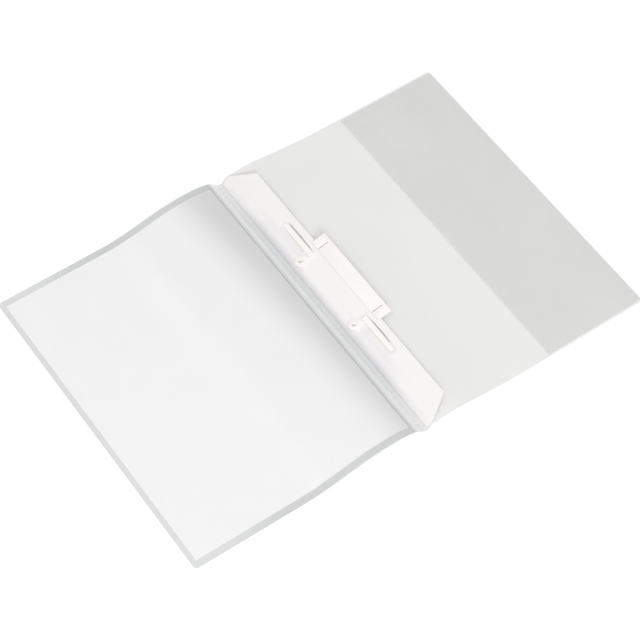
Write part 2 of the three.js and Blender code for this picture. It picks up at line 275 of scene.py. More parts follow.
def rangeNode(nodes, links, value, fromRange=(0, 1), toRange=(0, 1), blend="SMOOTHSTEP"):
    step = nodes.new("ShaderNodeMapRange")
    step.interpolation_type = blend
    step.inputs["From Min"].default_value, step.inputs["From Max"].default_value = fromRange
    step.inputs["To Min"].default_value, step.inputs["To Max"].default_value = toRange
    links.new(value, step.inputs["Value"])
    return step.outputs["Result"]


def noiseNode(nodes, links, place, scale, detail):
    noise = nodes.new("ShaderNodeTexNoise")
    noise.inputs["Scale"].default_value = scale
    noise.inputs["Detail"].default_value = detail
    links.new(place.outputs["Object"], noise.inputs["Vector"])
    return noise.outputs["Fac"]


# How far along a stretch of X a point lies, from 0 to 1. "lean" slants the stretch along the spine,
# "ends" lets it fade out towards both ends of the folder and "inside" towards the middle.
def stretchAmount(nodes, links, place, stretch):
    split = nodes.new("ShaderNodeSeparateXYZ")
    links.new(place.outputs["Object"], split.inputs["Vector"])
    lean = nodes.new("ShaderNodeMath")
    lean.operation = "MULTIPLY_ADD"
    lean.inputs[1].default_value = stretch.get("lean", 0)
    links.new(split.outputs["Y"], lean.inputs[0])
    links.new(split.outputs["X"], lean.inputs[2])
    amount = rangeNode(nodes, links, lean.outputs["Value"], (stretch["from"], stretch["to"]))
    if "ends" not in stretch:
        return amount
    away = mathNode(nodes, links, "ABSOLUTE", split.outputs["Y"])
    fade = rangeNode(nodes, links, away, stretch["ends"], (1, stretch.get("endAmount", 0.15)))
    amount = mathNode(nodes, links, "MULTIPLY", amount, fade)
    if "inside" not in stretch:
        return amount
    rise = rangeNode(nodes, links, away, stretch["inside"])
    return mathNode(nodes, links, "MULTIPLY", amount, rise)


def mixColour(nodes, links, factor, first, second, blend="MIX"):
    mix = nodes.new("ShaderNodeMix")
    mix.data_type = "RGBA"
    mix.blend_type = blend
    links.new(factor, mix.inputs["Factor"])
    links.new(first, mix.inputs["A"])
    mix.inputs["B"].default_value = linearColour(second)
    return mix.outputs["Result"]


# Painted shade: darker round a place inside a piece, the same on both halves of the folder
def hollowColour(nodes, links, place, colour, hollow):
    split = nodes.new("ShaderNodeSeparateXYZ")
    links.new(place.outputs["Object"], split.inputs["Vector"])
    away = mathNode(nodes, links, "ABSOLUTE", split.outputs["Y"])
    join = nodes.new("ShaderNodeCombineXYZ")
    for source, axis in ((split.outputs["X"], "X"), (away, "Y"), (split.outputs["Z"], "Z")):
        links.new(source, join.inputs[axis])
    distance = nodes.new("ShaderNodeVectorMath")
    distance.operation = "DISTANCE"
    distance.inputs[1].default_value = hollow["centre"]
    links.new(join.outputs["Vector"], distance.inputs[0])
    amount = rangeNode(nodes, links, distance.outputs["Value"], (hollow["from"], hollow["to"]))
    return mixColour(nodes, links, amount, colour, hollow["colour"])


# Painted shade: the clear film is made greyer and less clear towards the fold, in place of the
# shading near the crease
def shadeTowardsFold(nodes, links, shader, place, colour, look):
    shade = look["shade"]
    amount = stretchAmount(nodes, links, place, shade)
    alpha = rangeNode(nodes, links, amount, (0, 1), (look["alpha"], shade["alpha"]), "LINEAR")
    links.new(alpha, shader.inputs["Alpha"])
    return mixColour(nodes, links, amount, colour, shade["colour"])


# What all the plastics and the paper share: refraction, depth of their fine surface in metres,
# and how the slow drift of their colour is drawn
finish = {
    "ior": 1.45,
    "bumpDepth": 0.0001,
    "driftSpan": (0.3, 0.7),
    "driftDetail": 3,
    "grainDetail": 4,
}


# A plastic or paper: a base colour that drifts slightly, a varied gloss, and a fine surface
def surface(name, look):
    material, nodes, links, shader = newMaterial(name)
    place = nodes.new("ShaderNodeTexCoord")
    drift = noiseNode(nodes, links, place, look["driftScale"], finish["driftDetail"])
    ramp = nodes.new("ShaderNodeValToRGB")
    for i, change in enumerate((-look["drift"], look["drift"])):
        tone = ramp.color_ramp.elements[i]
        tone.position = finish["driftSpan"][i]
        tone.color = linearColour([min(max(c + change, 0), 1) for c in look["colour"]])
    links.new(drift, ramp.inputs["Fac"])
    colour = ramp.outputs["Color"]
    # Tints darken the colour over stretches of X; most of them are painted shade along the folds,
    # the spine's valley and the dents
    for tint in look.get("tints", ()):
        amount = stretchAmount(nodes, links, place, tint)
        colour = mixColour(nodes, links, amount, colour, tint["colour"], "MULTIPLY")
    # Painted shadow inside the rivets' bores
    if "hollow" in look:
        colour = hollowColour(nodes, links, place, colour, look["hollow"])
    # Painted shade on the clear film towards the fold
    if "shade" in look:
        colour = shadeTowardsFold(nodes, links, shader, place, colour, look)
    elif "alpha" in look:
        shader.inputs["Alpha"].default_value = look["alpha"]
    links.new(colour, shader.inputs["Base Color"])
    grain = noiseNode(nodes, links, place, look["grainScale"], finish["grainDetail"])
    roughness, change = look["roughness"], look["roughnessChange"]
    span = (roughness - change, roughness + change)
    gloss = rangeNode(nodes, links, grain, (0, 1), span, "LINEAR")
    links.new(gloss, shader.inputs["Roughness"])
    bump = nodes.new("ShaderNodeBump")
    bump.inputs["Strength"].default_value = look["bump"]
    bump.inputs["Distance"].default_value = finish["bumpDepth"]
    links.new(grain, bump.inputs["Height"])
    links.new(bump.outputs["Normal"], shader.inputs["Normal"])
    shader.inputs["IOR"].default_value = finish["ior"]
    return material


# Colours are in screen values, stretches and places in metres from the middle of the folder
looks = {
    "frontFilm": {
        "colour": (0.872, 0.880, 0.876),
        "tints": [
            # Painted shade along the crease, in the last millimetre or so before the fold
            {"colour": (0.965, 0.973, 0.970), "from": -0.0165, "to": -0.0140},
            # Painted shade over the bulge: the film turns darker from near the outer rim to where
            # the bulge starts, and stays so up to the fold
            {"colour": (0.930, 0.937, 0.935), "from": -0.205, "to": -0.130},
        ],
        "drift": 0.006,
        "driftScale": 18,
        "grainScale": 900,
        "roughness": 0.3,
        "roughnessChange": 0.05,
        "bump": 0.05,
    },
    "spineFilm": {
        "colour": (0.953, 0.957, 0.958),
        "tints": [
            # Painted shade along the crease, darker towards the spine's top edge
            {"colour": (0.92, 0.926, 0.925), "from": -0.0098, "to": -0.0116},
            # Painted shade in the valley, darker towards the spine's foot and weaker towards both
            # ends
            {
                "colour": (0.953, 0.959, 0.962),
                "from": -0.0075,
                "to": -0.0032,
                "ends": (0.07, 0.145),
            },
        ],
        "drift": 0.004,
        "driftScale": 18,
        "grainScale": 900,
        "roughness": 0.32,
        "roughnessChange": 0.05,
        "bump": 0.05,
    },
    "clearFilm": {
        "colour": (0.96, 0.96, 0.96),
        "drift": 0.004,
        "driftScale": 14,
        "grainScale": 700,
        "roughness": 0.22,
        "roughnessChange": 0.05,
        "bump": 0.03,
        "alpha": 0.05,
        # Painted shade: greyer and less clear towards the fold, fading at both ends of the sheet
        "shade": {
            "colour": (0.65, 0.635, 0.655),
            "alpha": 0.095,
            "from": -0.057,
            "to": -0.016,
            "lean": 0.068,
            "ends": (0.1475, 0.1500),
            "endAmount": 0.2,
        },
    },
    "paper": {
        "colour": (0.963, 0.963, 0.963),
        # Painted shade: the sheet a little darker over its part towards the fold
        "tints": [{"colour": (0.985, 0.985, 0.985), "from": -0.108, "to": -0.084}],
        "drift": 0.003,
        "driftScale": 40,
        "grainScale": 2400,
        "roughness": 0.92,
        "roughnessChange": 0.04,
        "bump": 0.12,
    },
    "backFilm": {
        "colour": (0.930, 0.929, 0.919),
        "tints": [
            # Painted shade in the groove beside the spine's foot, weaker towards both ends
            {
                "colour": (0.92, 0.926, 0.935),
                "from": 0.005,
                "to": 0.001,
                "ends": (0.09, 0.16),
                "endAmount": 0.4,
            },
            {"colour": (0.935, 0.937, 0.94), "from": 0.2250, "to": 0.2257},
        ],
        "drift": 0.005,
        "driftScale": 14,
        "grainScale": 1200,
        "roughness": 0.5,
        "roughnessChange": 0.06,
        "bump": 0.12,
    },
    "frostedFilm": {
        "colour": (0.909, 0.912, 0.914),
        "drift": 0.006,
        "driftScale": 14,
        "grainScale": 1400,
        "roughness": 0.45,
        "roughnessChange": 0.06,
        "bump": 0.12,
        "alpha": 0.235,
    },
    "strip": {
        "colour": (0.964, 0.949, 0.949),
        "tints": [
            # Painted shade on the strip's flank, darker down in the valley and weaker towards both
            # ends
            {"colour": (0.905, 0.911, 0.92), "from": 0.0048, "to": 0.0008, "ends": (0.09, 0.15)},
            # Painted shade in the dents beside the prongs, on their side towards the spine
            {
                "colour": (0.974, 0.977, 0.984),
                "from": 0.0150,
                "to": 0.0100,
                "inside": (0.042, 0.050),
                "ends": (0.085, 0.112),
            },
        ],
        "drift": 0.004,
        "driftScale": 30,
        "grainScale": 1600,
        "roughness": 0.42,
        "roughnessChange": 0.06,
        "bump": 0.06,
    },
    "fastener": {
        "colour": (0.981, 0.963, 0.951),
        "drift": 0.004,
        "driftScale": 60,
        "grainScale": 1800,
        "roughness": 0.38,
        "roughnessChange": 0.05,
        "bump": 0.05,
    },
    "rivet": {
        "colour": (0.965, 0.953, 0.943),
        # Painted shadow inside the rivets' bores
        "hollow": {
            "colour": (0.70, 0.71, 0.75),
            "centre": (0.00620, 0.040, 0.0089),
            "from": 0.0014,
            "to": 0.0008,
        },
        "drift": 0.004,
        "driftScale": 60,
        "grainScale": 1800,
        "roughness": 0.3,
        "roughnessChange": 0.05,
        "bump": 0.05,
    },
}
materials = {name: surface(name, look) for name, look in looks.items()}
print("materials made")

cover = {"fineFrom": 12, "fineStep": 0.5, "coarseStep": 6}
frontEdge = creaseAt - folder["frontReach"]
acrossPlaces = spread(folder["halfLength"], **cover)


# Half the length of the front cover's pieces at x, less at the round outer corners
def frontHalf(inset, radius):
    def half(x):
        distance = x - frontEdge - inset
        return folder["halfLength"] - inset - cornerInset(distance, radius)

    return half


def plainHeights(low, high):
    def heights(x, y):
        return low, high

    return heights


# A pressed fold: the film gets thin towards the place where two panels meet
fold = {"width": 1.5, "crease": 0.22, "foot": 0.15, "gap": 0.03, "room": 0.3, "steps": 12}


def foldHeights(folds):
    def heights(x, y):
        thin = max(depth * smoothStep(-abs(x - place), -fold["width"], 0) for place, depth in folds)
        return 0, folder["film"] - thin

    return heights


# More points where the film bends into its fold
def withFold(line, place):
    reach = fold["width"] + fold["room"]
    far = [p for p in line if abs(p[0] - place) > reach]
    close = [p for p in line if abs(p[0] - place) <= reach]
    if line[0] in close:
        return [close[0]] + straightPoints(close[0], far[0], fold["steps"]) + far[1:]
    return far + straightPoints(far[-1], close[-1], fold["steps"])


frontUnderside = frontLine()
frontFilmMesh = filmMesh(
    "frontCover",
    withFold(trimEnd(frontUnderside, fold["gap"]), creaseAt),
    acrossPlaces,
    foldHeights([(creaseAt, fold["crease"])]),
    frontHalf(0, folder["cornerRadius"]),
)
makeObject(
    "frontCover",
    frontFilmMesh,
    "front_cover",
    materials["frontFilm"],
    ["front_cover_film"],
)


# The front cover's line from a new outer edge, and shorter at the crease
def insetLine(edge, setback):
    return [(edge, 0)] + [p for p in trimEnd(frontUnderside, setback) if p[0] > edge + 0.1]


sheet = {"low": 0.65, "high": 0.9, "setback": 2.1, "endGrid": (4, 1, 6)}
sheetEdge = creaseAt - folder["sheetWidth"]
sheetMesh = filmMesh(
    "titleSheet",
    insetLine(sheetEdge, sheet["setback"]),
    spread(folder["sheetHalf"], *sheet["endGrid"]),
    plainHeights(sheet["low"], sheet["high"]),
    lambda x: folder["sheetHalf"],
)
makeObject(
    "titleSheet",
    sheetMesh,
    "front_cover",
    materials["paper"],
    ["title_sheet"],
)

# The clear film lies on the sheet and comes down to the cover round it, where it is welded
pocket = {"inset": 0.6, "film": 0.3, "low": 1.05, "setback": 1.5, "clearance": 0.4, "slope": 1.6}
weldGap = 0.002


def frontPocketHeights(x, y):
    fromEdge = x - (sheetEdge - pocket["clearance"])
    fromEnd = folder["sheetHalf"] + pocket["clearance"] - abs(y)
    lifted = smoothStep(fromEdge, -pocket["slope"], 0) * smoothStep(fromEnd, -pocket["slope"], 0)
    low = folder["film"] + (pocket["low"] - folder["film"]) * lifted
    return low + weldGap, low + pocket["film"]


pocketMesh = filmMesh(
    "frontPocket",
    insetLine(frontEdge + pocket["inset"], pocket["setback"]),
    acrossPlaces,
    frontPocketHeights,
    frontHalf(pocket["inset"], folder["cornerRadius"] - pocket["inset"]),
)
makeObject(
    "frontPocket",
    pocketMesh,
    "front_cover",
    materials["clearFilm"],
    ["front_pocket_film"],
)
print("front cover made")

spine = {"footSetback": 0.32, "steps": 40}


def spineLine():
    width = folder["spineWidth"]
    points = []
    for i in range(spine["steps"] + 1):
        k = fold["gap"] + (width - fold["gap"] - spine["footSetback"]) * i / spine["steps"]
        points.append((creaseAt * (1 - k / width), creaseHeight * (1 - k / width)))
    return points


spineMesh = filmMesh(
    "spine",
    spineLine(),
    acrossPlaces,
    foldHeights([(creaseAt, fold["crease"]), (0, fold["foot"])]),
    lambda x: folder["halfLength"],
)
makeObject("spine", spineMesh, "spine", materials["spineFilm"], ["spine_film"])
print("spine made")


def backHalf(inset, radius):
    def half(x):
        distance = folder["backReach"] - inset - x
        return folder["halfLength"] - inset - cornerInset(distance, radius)

    return half


backMesh = filmMesh(
    "backCover",
    withFold(backLine(), 0),
    acrossPlaces,
    foldHeights([(0, fold["foot"])]),
    backHalf(0, folder["cornerRadius"]),
)
makeObject(
    "backCover",
    backMesh,
    "back_cover",
    materials["backFilm"],
    ["back_cover_film"],
)

backPocket = {
    "width": 100,
    "inset": 2,
    "corner": 3,
    "room": 0.6,
    "film": 0.3,
    "weld": 3,
    "slope": 6,
}


def backPocketHeights(x, y):
    fromEdge = folder["backReach"] - backPocket["inset"] - backPocket["weld"] - x
    fromEnd = folder["halfLength"] - backPocket["inset"] - backPocket["weld"] - abs(y)
    slope = backPocket["slope"]
    lifted = smoothStep(fromEdge, 0, slope) * smoothStep(fromEnd, 0, slope)
    low = folder["film"] + weldGap + (backPocket["room"] - weldGap) * lifted
    return low, low + backPocket["film"]


mouth = folder["backReach"] - backPocket["width"]
outer = folder["backReach"] - backPocket["inset"]
rimStart = outer - rim["width"]
backPocketLine = [(mouth, 0)] + straightPoints((mouth, 0), (rimStart, 0), 40)
backPocketLine += straightPoints((rimStart, 0), (outer, 0), 40)
backPocketMesh = filmMesh(
    "backPocket",
    backPocketLine,
    acrossPlaces,
    backPocketHeights,
    backHalf(backPocket["inset"], backPocket["corner"]),
)
makeObject(
    "backPocket",
    backPocketMesh,
    "back_cover",
    materials["frostedFilm"],
    ["back_pocket_film"],
)
print("back cover made")

strip = {
    "thickness": 0.8,
    "foot": (4.1, 1.35),
    "bendAt": 8.9,
    "bendHeight": 7.25,
    "bendRadius": 1.6,
    "bendFullness": 0.6,
    "tilt": 12.4,
    "panelWidth": 22.8,
    "endInset": 2.5,
    "endCut": 14,
    "endCutDepth": 20.8,
    "dentDepth": 0.9,
}
tilt = math.radians(strip["tilt"])
prongLine = 12.2
prongAt = 40


# A place on the panel: u from the bend to the free edge, v along the spine, w square to the panel
def onPanel(u, v, w):
    x = strip["bendAt"] + u * math.cos(tilt) - w * math.sin(tilt)
    z = strip["bendHeight"] + strip["thickness"] / 2 + u * math.sin(tilt) + w * math.cos(tilt)
    return ((x - folder["centreAt"]) * mm, v * mm, z * mm)


# The strip's middle line, and how far each of its points lies from the bend along the panel
def stripLine():
    down = strip["thickness"] / 2
    bend = (
        strip["bendAt"] + down * math.sin(tilt),
        strip["bendHeight"] + down - down * math.cos(tilt),
    )
    foot = strip["foot"]
    upLength = math.dist(foot, bend)
    up = ((bend[0] - foot[0]) / upLength, (bend[1] - foot[1]) / upLength)
    out = (math.cos(tilt), math.sin(tilt))

    def fromBend(direction, distance):
        return bend[0] + direction[0] * distance, bend[1] + direction[1] * distance

    radius = strip["bendRadius"]
    tight = radius * (1 - strip["bendFullness"])
    start, end = fromBend(up, -radius), fromBend(out, radius)
    points = [foot] + straightPoints(foot, start, 8)
    points += curvePoints(start, fromBend(up, -tight), fromBend(out, tight), end, 14)
    points += straightPoints(end, fromBend(out, strip["panelWidth"]), 44)
    return points, [(p[0] - bend[0]) * out[0] + (p[1] - bend[1]) * out[1] for p in points]


# A closed block from an outline in the panel's plane
def blockObject(outline, low, high):
    shape = bmesh.new()
    bottom = [shape.verts.new((x, y, low)) for x, y in outline]
    top = [shape.verts.new((x, y, high)) for x, y in outline]
    count = len(outline)
    shape.faces.new(list(reversed(bottom)))
    shape.faces.new(top)
    for i in range(count):
        k = (i + 1) % count
        shape.faces.new((bottom[i], bottom[k], top[k], top[i]))
    bmesh.ops.recalc_face_normals(shape, faces=shape.faces)
    mesh = bpy.data.meshes.new("block")
    shape.to_mesh(mesh)
    shape.free()
    block = bpy.data.objects.new("block", mesh)
    bpy.context.scene.collection.objects.link(block)
    return block


def circle(x, y, radius, steps=48):
    angles = [2 * math.pi * i / steps for i in range(steps)]
    return [(x + radius * math.cos(a), y + radius * math.sin(a)) for a in angles]


def arc(x, y, radius, start, end, steps):
    angles = [math.radians(start + (end - start) * i / steps) for i in range(steps + 1)]
    return [(x + radius * math.cos(a), y + radius * math.sin(a)) for a in angles]


def rectangle(left, right, near, far):
    near, far = min(near, far), max(near, far)
    return [(left, near), (right, near), (right, far), (left, far)]


def roundedRectangle(left, right, near, far, radius, steps=8):
    points = []
    centres = ((right - radius, near + radius, -90), (right - radius, far - radius, 0))
    centres += ((left + radius, far - radius, 90), (left + radius, near + radius, 180))
    for x, y, start in centres:
        points += arc(x, y, radius, start, start + 90, steps)
    return points


# A closed mesh from points and faces in the panel's measures
def panelShell(name, corners, faces, angle):
    mesh = bpy.data.meshes.new(name)
    mesh.from_pydata(corners, [], faces)
    shell = bmesh.new()
    shell.from_mesh(mesh)
    bmesh.ops.recalc_face_normals(shell, faces=shell.faces)
    shell.to_mesh(mesh)
    shell.free()
    return panelMesh(mesh, angle)


# A round rod across the panel
def rodObject(radius, left, right, v, w, steps=40):
    rod = blockObject(circle(0, 0, radius, steps), left, right)
    turn = Matrix(((0, 0, 1, 0), (0, 1, 0, v), (-1, 0, 0, w), (0, 0, 0, 1)))
    rod.data.transform(turn)
    return rod


# Joins and cuts blocks, then rounds the edges that are left
def shapedMesh(name, base, added, removed, edge, angle=35, inPanel=True):
    for others, operation in ((added, "UNION"), (removed, "DIFFERENCE")):
        for other in others:
            change = base.modifiers.new(operation, "BOOLEAN")
            change.operation = operation
            change.solver = "EXACT"
            change.object = other
    if edge:
        rounding = base.modifiers.new("edges", "BEVEL")
        rounding.width = edge
        rounding.segments = 3
        rounding.limit_method = "ANGLE"
        rounding.angle_limit = math.radians(30)
        rounding.harden_normals = False
    shaped = base.evaluated_get(bpy.context.evaluated_depsgraph_get())
    mesh = bpy.data.meshes.new_from_object(shaped)
    mesh.name = name
    for block in [base] + added + removed:
        bpy.data.objects.remove(block)
    if inPanel:
        return panelMesh(mesh, angle)
    smoothFaces(mesh, angle)
    return mesh


# Takes a mesh from the panel's measures to its place in the folder
def panelMesh(mesh, angle=35):
    for vertex in mesh.vertices:
        vertex.co = Vector(onPanel(*vertex.co))
    mesh.validate()
    smoothFaces(mesh, angle)
    return mesh


prongShape = {
    "half": 2.5,
    "tipHalf": 2.1,
    "thick": 0.9,
    "length": 40.5,
    "knuckle": 1.0,
    "round": 0.28,
    "start": 0.12,
    "tipFall": 0.35,
}

# Soft dents under the prongs, small seats under their knuckles, and the slits beside them
dent = {
    "near": 44.5,
    "far": 83.5,
    "left": 4.6,
    "right": 16.7,
    "soft": 6,
    "softEnd": 5,
    "softRight": 1.2,
    "seatDepth": 0.45,
    "seatHalf": (3.1, 1.5),
    "seatSoft": (0.2, 0.3),
    "slitGap": 0.65,
    "slitStart": 42.2,
    "slitEnds": {1: 78.7, -1: 72},
    "slitWidths": (0.3, 0.5, 0.75, 1.0, 1.05, 0.85, 0.3),
    "slitBlunt": 0.3,
}


# 1 inside a stretch around a middle, falling to 0 at its ends
def plateau(away, half, soft):
    return smoothStep(-away, -half, -half + soft)


def dentDepth(u, v):
    away = abs(v)
    along = smoothStep(away, dent["near"], dent["near"] + dent["soft"])
    along *= plateau(away, dent["far"], dent["softEnd"])
    across = smoothStep(u, dent["left"], dent["left"] + dent["soft"])
    across *= plateau(u, dent["right"], dent["softRight"])
    seat = plateau(abs(away - prongAt), dent["seatHalf"][1], dent["seatSoft"][1])
    seat *= plateau(abs(u - prongLine), dent["seatHalf"][0], dent["seatSoft"][0])
    return max(strip["dentDepth"] * along * across, dent["seatDepth"] * seat)


# Places along the strip as start, end and step: close together over the dents and the cut corners
stripGrid = ((0, 28, 4), (30, 87, 0.5), (92, 136, 4), (138, 155, 0.5))


def stripPlaces():
    places = []
    for start, end, step in stripGrid:
        places += [start + i * step for i in range(round((end - start) / step) + 1)]
    return [-p for p in reversed(places[1:])] + places


def stripMesh():
    line, fromBend = stripLine()
    ups = normals(line)
    half = strip["thickness"] / 2
    cutStart = strip["panelWidth"] - strip["endCutDepth"]
    places = stripPlaces()
    endStart, endStop = stripGrid[-1][:2]

    def point(i, j, side):
        u = fromBend[i]
        cut = max(u - cutStart, 0) * strip["endCut"] / strip["endCutDepth"]
        y = places[j]
        if abs(y) > endStart:
            room = folder["halfLength"] - strip["endInset"] - cut - endStart
            y = math.copysign(endStart + (abs(y) - endStart) / (endStop - endStart) * room, y)
        lift = (half if side else -half) - dentDepth(u, y)
        return line[i][0] + ups[i][0] * lift, y, line[i][1] + ups[i][1] * lift

    return shellMesh("bindingStrip", len(line), len(places), point)


# Slits beside the prongs, widest past their middle, cut through the strip
def slitOutline(side):
    left = prongLine + prongShape["half"] + dent["slitGap"]
    start, end = dent["slitStart"], dent["slitEnds"][side]
    widths = dent["slitWidths"]
    step = (end - start) / (len(widths) - 1)
    right = [(left + width, start + step * i) for i, width in enumerate(widths)]
    blunt = dent["slitBlunt"]
    outline = [(left, start + blunt)] + right + [(left, end - blunt)]
    return [(u, side * v) for u, v in outline]


def cutSlits(mesh):
    whole = bpy.data.objects.new("whole", mesh)
    bpy.context.scene.collection.objects.link(whole)
    blocks = []
    for side in (1, -1):
        block = blockObject(slitOutline(side), -4, 2)
        for vertex in block.data.vertices:
            vertex.co = Vector(onPanel(*vertex.co))
        blocks.append(block)
    return shapedMesh("bindingStrip", whole, [], blocks, 0, 40, False)


makeObject(
    "bindingStrip",
    cutSlits(stripMesh()),
    "back_cover",
    materials["strip"],
    ["binding_strip"],
)
print("binding strip made")

bracket = {
    "earAt": 1.9,
    "earRadius": 5.4,
    "seat": 0.05,
    "top": 0.95,
    "pivot": 0.75,
    "cheek": 1.0,
    "cheekTop": 1.5,
    "cheekLength": 3.6,
    "side": 2.65,
    "wallAt": 1.12,
    "wall": 0.9,
    "bore": 1.6,
    "pinRadius": 0.42,
    "pinRoom": 0.02,
    "pinShow": 0.3,
    "pinEdge": 0.06,
    "notchHalf": 0.55,
    "edge": 0.14,
}


# A round ear, a bridge from it to a clevis of two cheeks, and a low wall behind the prong's knuckle
def bracketMesh(name, side):
    ear, inner, outer = bracket["earAt"], bracket["side"], bracket["side"] + bracket["cheek"]
    left, right = prongLine - outer, prongLine + outer
    middle = side * prongAt
    low = side * (prongAt - bracket["cheekLength"] / 2)
    high = side * (prongAt + bracket["cheekLength"] / 2)
    back = side * (prongAt - bracket["wallAt"])
    backEnd = side * (prongAt - bracket["wallAt"] - bracket["wall"])
    seat, top, cheekTop, pivot = (bracket[k] for k in ("seat", "top", "cheekTop", "pivot"))
    notch = bracket["notchHalf"]
    added = [
        blockObject(rectangle(ear, prongLine - inner, low, high), seat, top),
        blockObject(rectangle(left, prongLine - inner, low, high), seat, cheekTop),
        blockObject(rectangle(prongLine + inner, right, low, high), seat, cheekTop),
        blockObject(rectangle(left, right, backEnd, back), seat, top),
    ]
    removed = [
        blockObject(rectangle(left - 1, right + 1, middle - notch, middle + notch), pivot, 5),
        rodObject(bracket["pinRadius"] + bracket["pinRoom"], left - 1, right + 1, middle, pivot),
        blockObject(circle(ear, middle, bracket["bore"]), -1, 3),
    ]
    whole = blockObject(circle(ear, middle, bracket["earRadius"], 72), seat, top)
    return shapedMesh(name, whole, added, removed, bracket["edge"])


# Places along a prong from its pin: round its knuckle, down the tongue and round its tip
def prongStations(tipCentre):
    knuckle, tipHalf = prongShape["knuckle"], prongShape["tipHalf"]
    stations = [-knuckle * math.cos(math.radians(a)) for a in range(12, 91, 13)]
    stations += [0.3, 0.6, 0.8, 0.9, 1.2, 2.5, 5, 10, 15, 20, 25, 30, 34, 37]
    return stations + [tipCentre + tipHalf * math.sin(math.radians(a)) for a in range(0, 86, 5)]


# Half the thickness and half the width of a prong at a distance from its pin
def prongSection(s, tipCentre):
    thickHalf = prongShape["thick"] / 2
    knuckle, tipHalf = prongShape["knuckle"], prongShape["tipHalf"]
    if s < knuckle:
        least = thickHalf if s > 0 else prongShape["start"]
        thickHalf = max(math.sqrt(max(knuckle**2 - s * s, 0)), least)
    if s > tipCentre:
        fall = smoothStep(s, tipCentre + 1.2, prongShape["length"])
        half = math.sqrt(max(tipHalf**2 - (s - tipCentre) ** 2, 0.04))
        return thickHalf * (1 - prongShape["tipFall"] * fall), half
    along = min(max(s / tipCentre, 0), 1)
    return thickHalf, prongShape["half"] + (tipHalf - prongShape["half"]) * along


# A tongue lofted from its knuckle to its round tip, each cut a rectangle with round corners
def prongMesh(name, side):
    tipCentre = prongShape["length"] - prongShape["tipHalf"]
    rings = []
    for s in prongStations(tipCentre):
        thickHalf, half = prongSection(s, tipCentre)
        corner = min(prongShape["round"], thickHalf * 0.95, half * 0.9)
        ring = []
        for cx, cz, start in ((1, -1, -90), (1, 1, 0), (-1, 1, 90), (-1, -1, 180)):
            centre = (cx * (half - corner), cz * (thickHalf - corner))
            ring += arc(*centre, corner, start, start + 90, 6)
        v = side * (prongAt + s)
        rings.append([(prongLine + u, v, bracket["pivot"] + w) for u, w in ring])
    size = len(rings[0])
    faces = []
    for i in range(len(rings) - 1):
        for j in range(size):
            k = (j + 1) % size
            faces.append((i * size + j, i * size + k, (i + 1) * size + k, (i + 1) * size + j))
    faces.append(tuple(range(size)))
    faces.append(tuple((len(rings) - 1) * size + j for j in reversed(range(size))))
    return panelShell(name, [p for ring in rings for p in ring], faces, 50)


# A turned shape round the rivet's axis
def turnedMesh(name, profile, u, v, steps=48):
    corners, faces, starts = [], [], []
    for x, w in profile:
        starts.append(len(corners))
        corners += [(u, v, w)] if x == 0 else [(px, py, w) for px, py in circle(u, v, x, steps)]
    for a in range(len(profile) - 1):
        for i in range(steps):
            around = (i, (i + 1) % steps)
            low = [starts[a] + (k if profile[a][0] else 0) for k in around]
            high = [starts[a + 1] + (k if profile[a + 1][0] else 0) for k in around]
            faces.append(tuple(dict.fromkeys((low[0], low[1], high[1], high[0]))))
    return panelShell(name, corners, faces, 45)


# Radii and heights of the tubular rivet: a foot under the strip, a shank, and a head with a dish
rivetShape = {
    "foot": 1.95,
    "footBase": -1.35,
    "footTop": -0.85,
    "footRound": 0.15,
    "shank": 1.5,
    "head": 2.8,
    "headBase": 1.0,
    "headRound": 0.35,
    "headTop": 1.75,
    "dish": 2.1,
    "dishRound": 0.1,
    "dishFloor": 1.22,
    "bore": 1.15,
    "boreRim": 1.1,
    "boreRound": 0.05,
    "boreFloor": 0.15,
}


def rivetMesh(name, side):
    shape = rivetShape
    foot, shank, head, dish, bore = (shape[k] for k in ("foot", "shank", "head", "dish", "bore"))
    base, floor, top = shape["footBase"], shape["boreFloor"], shape["headTop"]
    footRound, headRound, dishRound, boreRound = (
        shape[k] for k in ("footRound", "headRound", "dishRound", "boreRound")
    )
    profile = [(0, base)] + arc(foot - footRound, base + footRound, footRound, -90, 0, 5)
    profile += [(foot, shape["footTop"]), (shank, shape["footTop"])]
    profile += [(shank, shape["headBase"]), (head - dishRound, shape["headBase"])]
    profile += arc(head - headRound, top - headRound, headRound, -20, 90, 8)
    profile += arc(dish + dishRound, top - dishRound, dishRound, 90, 150, 3)
    profile += [(bore + dishRound, shape["dishFloor"])]
    profile += arc(bore - boreRound, shape["boreRim"], boreRound, 60, 0, 2)
    profile += [(bore, floor * 2), (bore - floor, floor), (0, floor)]
    return turnedMesh(name, profile, bracket["earAt"], side * prongAt)


def pinMesh(name, side):
    half = bracket["side"] + bracket["pinShow"]
    place = (prongLine - half, prongLine + half, side * prongAt, bracket["pivot"])
    return shapedMesh(name, rodObject(bracket["pinRadius"], *place), [], [], bracket["pinEdge"])


fastenerParts = (
    ("bracket", bracketMesh, "fastener", "prong_bracket_"),
    ("prong", prongMesh, "fastener", "prong_"),
    ("rivet", rivetMesh, "rivet", "rivet_"),
    ("pin", pinMesh, "fastener", "prong_pin_"),
)
for place, side in (("far", 1), ("near", -1)):
    for title, makeMesh, look, node in fastenerParts:
        name = title + place.capitalize()
        body = "prong_" + place if title == "prong" else "back_cover"
        mesh = makeMesh(name, side)
        makeObject(name, mesh, body, materials[look], [node + place])
print("prongs made")

bar = {
    "length": 98,
    "width": 14.1,
    "rise": 1.5,
    "grip": 3.2,
    "gap": 0.3,
    "lip": 0.84,
    "slotWidth": 0.8,
    "slotLength": 11.3,
    "corner": 0.9,
    "edge": 0.41,
}


